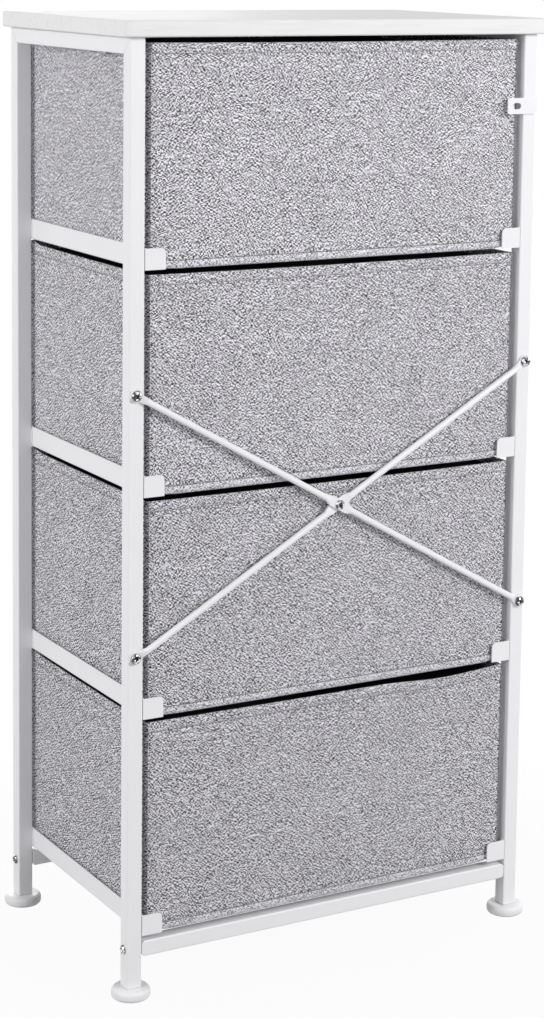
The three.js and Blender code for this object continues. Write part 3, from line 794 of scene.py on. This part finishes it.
def make_pull(number):
    """A webbing strap that bows out between its sewn ends."""
    low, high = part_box(f"drawer_strap_{number}")
    middle = (low + high) / 2
    half_length = (high.x - low.x) / 2
    half_width = (high.z - low.z) / 2
    bulge = (high.y - low.y) - STRAP_THICKNESS
    section = strap_section(half_width)
    places = [half_length * (2 * k / STRAP_STATIONS - 1) for k in range(STRAP_STATIONS + 1)]
    centres = [Vector((x, -strap_curve(x, half_length - STRAP_SEWN, bulge))) for x in places]
    lengths = [0.0]
    for a, b in zip(centres, centres[1:]):
        lengths.append(lengths[-1] + (b - a).length)
    rings = []
    for k, centre in enumerate(centres):
        slope = (centres[min(STRAP_STATIONS, k + 1)] - centres[max(0, k - 1)]).normalized()
        outwards = Vector((slope.y, -slope.x))
        ring = []
        for off, up in section:
            puff = STRAP_PUFF * (1 - (up / half_width) ** 2) * (1 if off > 0 else -1)
            flat = centre - Vector((0, STRAP_THICKNESS / 2)) + outwards * (off + puff)
            ring.append(Vector((middle.x + flat.x, high.y + flat.y, middle.z + up)))
        rings.append(ring)
    points, faces = ring_mesh(rings)
    uvs = strap_map(points, faces, lengths, section)
    piece = make_object(f"webbing_pull_{number}", points, faces, [webbing], uvs)
    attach(piece, f"drawer_{number}")
    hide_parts(f"drawer_strap_{number}")
    sew_pull(number, middle, high.y - STRAP_THICKNESS, half_length, half_width)


def sew_pull(number, middle, face_y, half_length, half_width):
    """A box of stitches with a cross in it, on each sewn end."""
    points = []
    faces = []
    out = Vector((0, -1, 0))
    y = face_y - STRAP_STITCH_PROUD
    low = middle.z - half_width + STRAP_INSET
    high = middle.z + half_width - STRAP_INSET
    for end in (-1, 1):
        near = middle.x + end * (half_length - STRAP_SEWN + STRAP_INSET / 2)
        far = middle.x + end * (half_length - STRAP_INSET)
        corners = [Vector((x, y, z)) for x, z in ((near, low), (far, low), (far, high), (near, high))]
        box = list(zip(corners, corners[1:] + corners[:1]))
        cross = [(corners[0], corners[2]), (corners[1], corners[3])]
        for a, b in box + cross:
            along = b - a
            count = max(2, round(along.length / STRAP_STITCH_PITCH))
            for k in range(count):
                place = a + along * ((k + 0.5) / count)
                stitch(points, faces, place, along.normalized(), out, STRAP_STITCH_LENGTH)
    piece = make_object(f"pull_stitching_{number}", points, faces, [seam_thread])
    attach(piece, f"drawer_{number}")


for number in DRAWERS:
    centre, stations, height = make_bin(number)
    sew_bin(number, centre, stations, height)
    make_pull(number)

# Screws

SCREW_SIDES = 48
BRACE_HEAD = 3.4 * MM  # height of a head
CROSSBAR_HEAD = 2.6 * MM
MIDDLE_HEAD = 2.4 * MM
SHANK_SHARE = 0.55  # this and the next three are shares of the head's radius or height
FOOT_SHARE = 0.97
RIM_SHARE = 0.12
TOP_SHARE = 0.998
TOP_RING_SHARES = (0.75, 0.5, 0.3, 0.12)  # of the radius where the dome ends
SHANK_SINK = 0.05 * MM
DOME_STEPS = 10
DOME_TURN = math.radians(90 * 0.94)
DOME_FULLNESS = 0.8
CROSS_HALF_WIDTH_SHARE = 0.225  # of the head's radius, as is the reach
CROSS_REACH_SHARE = 0.62
CROSS_DEPTH_SHARE = 0.75  # of the head's height, as are the next two
CROSS_START_SHARE = 0.3
CROSS_DARK_SHARE = 0.35
CROSS_TURN = math.radians(20)
CROSS_WALL_SLOPE = 2.2
CROSS_END_SLOPE = 2.5


def head_profile(radius, head, end):
    """Radii and heights of a screw from its shank's end up to the middle of the head's top."""
    profile = [
        (radius * SHANK_SHARE, end), (radius * SHANK_SHARE, -SHANK_SINK), (radius * FOOT_SHARE, 0.0),
        (radius, RIM_SHARE * head)]
    for k in range(1, DOME_STEPS + 1):
        angle = k / DOME_STEPS * DOME_TURN
        height = head * (RIM_SHARE + (1 - RIM_SHARE) * math.sin(angle))
        profile.append((radius * math.cos(angle) ** DOME_FULLNESS, height))
    edge = profile[-1][0]
    return profile + [(edge * share, head * TOP_SHARE) for share in TOP_RING_SHARES]


def recess(x, y, z, radius, head):
    """How far the cross recess sinks at a point of the head."""
    if z < head * CROSS_START_SHARE:
        return 0.0
    cos = math.cos(CROSS_TURN)
    sin = math.sin(CROSS_TURN)
    x, y = abs(x * cos - y * sin), abs(x * sin + y * cos)
    depth = 0.0
    for a, b in ((x, y), (y, x)):
        wide = 1 - b / (radius * CROSS_HALF_WIDTH_SHARE)
        long = 1 - a / (radius * CROSS_REACH_SHARE)
        if wide > 0 and long > 0:
            depth = max(depth, min(1.0, wide * CROSS_WALL_SLOPE) * min(1.0, long * CROSS_END_SLOPE))
    return depth * head * CROSS_DEPTH_SHARE


def pan_head(name, node, axis, head, material):
    """A pan head with a cross recess, in place of a plainer solid. axis points out of the head, whose height
    is head."""
    low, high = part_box(node)
    size = high - low
    radius = max(size[k] for k in range(3) if abs(axis[k]) < 0.5) / 2
    middle = (low + high) / 2
    top = max(high.dot(axis), low.dot(axis))
    bottom = min(high.dot(axis), low.dot(axis))
    foot = middle + axis * (top - head - middle.dot(axis))
    side = Vector((0, 0, 1))
    other = axis.cross(side)
    rings = []
    dark = []
    for r, z in head_profile(radius, head, bottom - (top - head)):
        ring = []
        for k in range(SCREW_SIDES):
            angle = (k + 0.5) / SCREW_SIDES * 2 * math.pi
            x, y = r * math.cos(angle), r * math.sin(angle)
            sunk = recess(x, y, z, radius, head)
            ring.append(foot + side * x + other * y + axis * (z - sunk))
            dark.append(sunk > CROSS_DARK_SHARE * head)
        rings.append(ring)
    points, faces = ring_mesh(rings)
    if side.cross(other).dot(axis) < 0:
        faces = [tuple(reversed(face)) for face in faces]
    # Faces deep in the cross recess take the near-black plate, as painted shade.
    kinds = [1 if sum(dark[k] for k in face) * 2 > len(face) else 0 for face in faces]
    piece = make_object(name, points, faces, [material, recess_painted_shade], kinds=kinds)
    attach(piece, "frame")
    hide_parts(node)


REAR = Vector((0, 1, 0))
for side in ("left", "right"):
    for level in ("lower", "upper"):
        pan_head(f"brace_pan_head_{level}_{side}", f"brace_screw_{level}_{side}", REAR, BRACE_HEAD, chrome)
    for end in ("front", "rear"):
        axis = Vector((-1 if side == "left" else 1, 0, 0))
        pan_head(
            f"crossbar_pan_head_{end}_{side}", f"crossbar_screw_{end}_{side}", axis, CROSSBAR_HEAD, chrome)
pan_head("middle_pan_head", "brace_middle_bolt", REAR, MIDDLE_HEAD, zinc)

# Weld beads

BEAD_LEG = 1.3 * MM
BEAD_STEPS = 26
BEAD_SIZE = 0.9  # of BEAD_LEG, and how much the ripples add or take
BEAD_RIPPLE = 0.12
BEAD_RIPPLE_TURN = 1.9  # radians from one step to the next
BEAD_END_SIZE = 0.35  # of its full size, at its ends
BEAD_TAPER = 4  # times the share of its length from the nearer end is added to that
BEAD_FROM_EDGE = 1 * MM  # between a bead's end and the rail's edge
BEAD_BITE = 0.25  # of its legs, how far a bead goes into the metal
BEAD_FILL = 0.42  # of its legs, how far its face stands from the corner


def weld_bead(points, faces, start, end, first_leg, second_leg):
    """Adds a rippled fillet in the corner between two faces, from start to end."""
    rings = []
    for k in range(BEAD_STEPS + 1):
        share = k / BEAD_STEPS
        swell = BEAD_SIZE + BEAD_RIPPLE * math.sin(k * BEAD_RIPPLE_TURN)
        swell *= min(1.0, BEAD_END_SIZE + BEAD_TAPER * min(share, 1 - share))
        centre = start.lerp(end, share)
        a = first_leg * (BEAD_LEG * swell)
        b = second_leg * (BEAD_LEG * swell)
        rings.append([centre - (a + b) * BEAD_BITE, centre + a, centre + (a + b) * BEAD_FILL, centre + b])
    ring_points, ring_faces = ring_mesh(rings)
    if (end - start).dot(first_leg.cross(second_leg)) < 0:
        ring_faces = [tuple(reversed(face)) for face in ring_faces]
    add_mesh(points, faces, ring_points, ring_faces)


def make_beads():
    """Beads where the rails' inner sides meet the posts."""
    points = []
    faces = []
    for side, sign in (("left", -1), ("right", 1)):
        for level in DRAWERS:
            low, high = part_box(f"rail_{side}_{level}")
            x = high.x if sign > 0 else low.x
            for end, inwards in (("front", 1), ("rear", -1)):
                post_low, post_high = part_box(f"post_{end}_{side}")
                y = post_high.y if end == "front" else post_low.y
                weld_bead(
                    points, faces, Vector((x, y, low.z + BEAD_FROM_EDGE)),
                    Vector((x, y, high.z - BEAD_FROM_EDGE)), Vector((sign, 0, 0)), Vector((0, inwards, 0)))
    beads = make_object("rail_weld_beads", points, faces, [paint])
    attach(beads, "frame")


make_beads()

# Stage, light and camera

WHITE = (1.0, 1.0, 1.0, 1.0)
STUDIO_LEVEL = 0.42
FLOOR_SIZE = 16.0
FLOOR_LEVEL = 0.5
FLOOR_GLOW_SHARES = (0.95, 1.0)  # of what the camera sees of the floor, by the dresser and far from it
FLOOR_GLOW_REACH = (0.3, 0.6)  # from the middle of the floor
LAMP_AIM = 0.6  # height above the floor that the lamps face


def pale_ray(tree):
    """1 for the rays that show the pale background: the camera's, and those mirrored or let through."""
    path = tree.nodes.new("ShaderNodeLightPath")
    value = path.outputs["Is Camera Ray"]
    for name in ("Is Glossy Ray", "Is Transmission Ray"):
        larger = tree.nodes.new("ShaderNodeMath")
        larger.operation = "MAXIMUM"
        tree.links.new(value, larger.inputs[0])
        tree.links.new(path.outputs[name], larger.inputs[1])
        value = larger.outputs[0]
    return value


def make_world():
    """Even light of STUDIO_LEVEL, and a white background."""
    world = bpy.data.worlds.new("studio")
    world.use_nodes = True
    tree = world.node_tree
    tree.nodes.clear()
    output = tree.nodes.new("ShaderNodeOutputWorld")
    blend = tree.nodes.new("ShaderNodeMixShader")
    for socket, level in ((1, STUDIO_LEVEL), (2, 1.0)):
        background = tree.nodes.new("ShaderNodeBackground")
        background.inputs["Color"].default_value = WHITE
        background.inputs["Strength"].default_value = level
        tree.links.new(background.outputs[0], blend.inputs[socket])
    tree.links.new(pale_ray(tree), blend.inputs[0])
    tree.links.new(blend.outputs[0], output.inputs["Surface"])
    bpy.context.scene.world = world


def make_floor():
    """A pale floor that keeps a little of the object's shadow near the dresser."""
    g = Graph("pale_floor")
    g.finish(Base_Color=(FLOOR_LEVEL, FLOOR_LEVEL, FLOOR_LEVEL, 1.0), Roughness=0.9, Specular_IOR_Level=0.1)
    glow = g.add("Emission", {"Color": WHITE, "Strength": 1.0})
    distance = g.add("VectorMath", {0: g.place()}, operation="LENGTH").outputs["Value"]
    share = g.math("MULTIPLY", pale_ray(g.tree), g.between(distance, *FLOOR_GLOW_REACH, *FLOOR_GLOW_SHARES))
    blend = g.add("MixShader", {0: share, 1: g.shader.outputs[0], 2: glow.outputs[0]})
    g.feed(g.output.inputs["Surface"], blend.outputs[0])
    half = FLOOR_SIZE / 2
    corners = [(-half, -half, 0), (half, -half, 0), (half, half, 0), (-half, half, 0)]
    floor = make_object("floor", corners, [(0, 1, 2, 3)], [g.material], smooth=False)


def soft_light(name, azimuth, elevation, distance, size, power):
    """A square lamp aimed at the dresser's middle. Azimuth 0 is behind it (+Y), and 90 is its +X side."""
    a = math.radians(azimuth)
    e = math.radians(elevation)
    toward = Vector((math.sin(a) * math.cos(e), math.cos(a) * math.cos(e), math.sin(e)))
    lamp = bpy.data.lights.new(name, "AREA")
    lamp.shape = "SQUARE"
    lamp.size = size
    lamp.energy = power
    holder = bpy.data.objects.new(name, lamp)
    holder.location = Vector((0, 0, LAMP_AIM)) + toward * distance
    holder.rotation_euler = toward.to_track_quat("Z", "Y").to_euler()
    bpy.context.scene.collection.objects.link(holder)


make_world()
make_floor()
soft_light("key", azimuth=-27, elevation=21, distance=3.2, size=1.05, power=62)
soft_light("side_fill", azimuth=86, elevation=14, distance=2.4, size=1.3, power=27)
soft_light("front_fill", azimuth=190, elevation=10, distance=2.6, size=1.6, power=40)
soft_light("far_side_fill", azimuth=262, elevation=10, distance=2.6, size=1.6, power=12)

# The camera that fits the photo's points with this vertical shift
IMAGE_LONG_SIDE = 1018  # pixels
FOCAL_PIXELS = 2398.9
SENSOR_WIDTH = 36.0  # mm
CAMERA_PLACE = (1.1381, 2.0275, 0.9671)
CAMERA_TURN = (82.302, -0.744, 150.199)  # degrees
CAMERA_SHIFT = (-0.0231, -0.236)  # of the sensor's width

lens = bpy.data.cameras.new("photo_camera")
lens.sensor_width = SENSOR_WIDTH
lens.lens = FOCAL_PIXELS * SENSOR_WIDTH / IMAGE_LONG_SIDE
lens.shift_x, lens.shift_y = CAMERA_SHIFT
camera = bpy.data.objects.new("photo_camera", lens)
camera.location = CAMERA_PLACE
camera.rotation_euler = [math.radians(angle) for angle in CAMERA_TURN]
bpy.context.scene.collection.objects.link(camera)
bpy.context.scene.camera = camera
bpy.context.scene.view_settings.view_transform = "Standard"
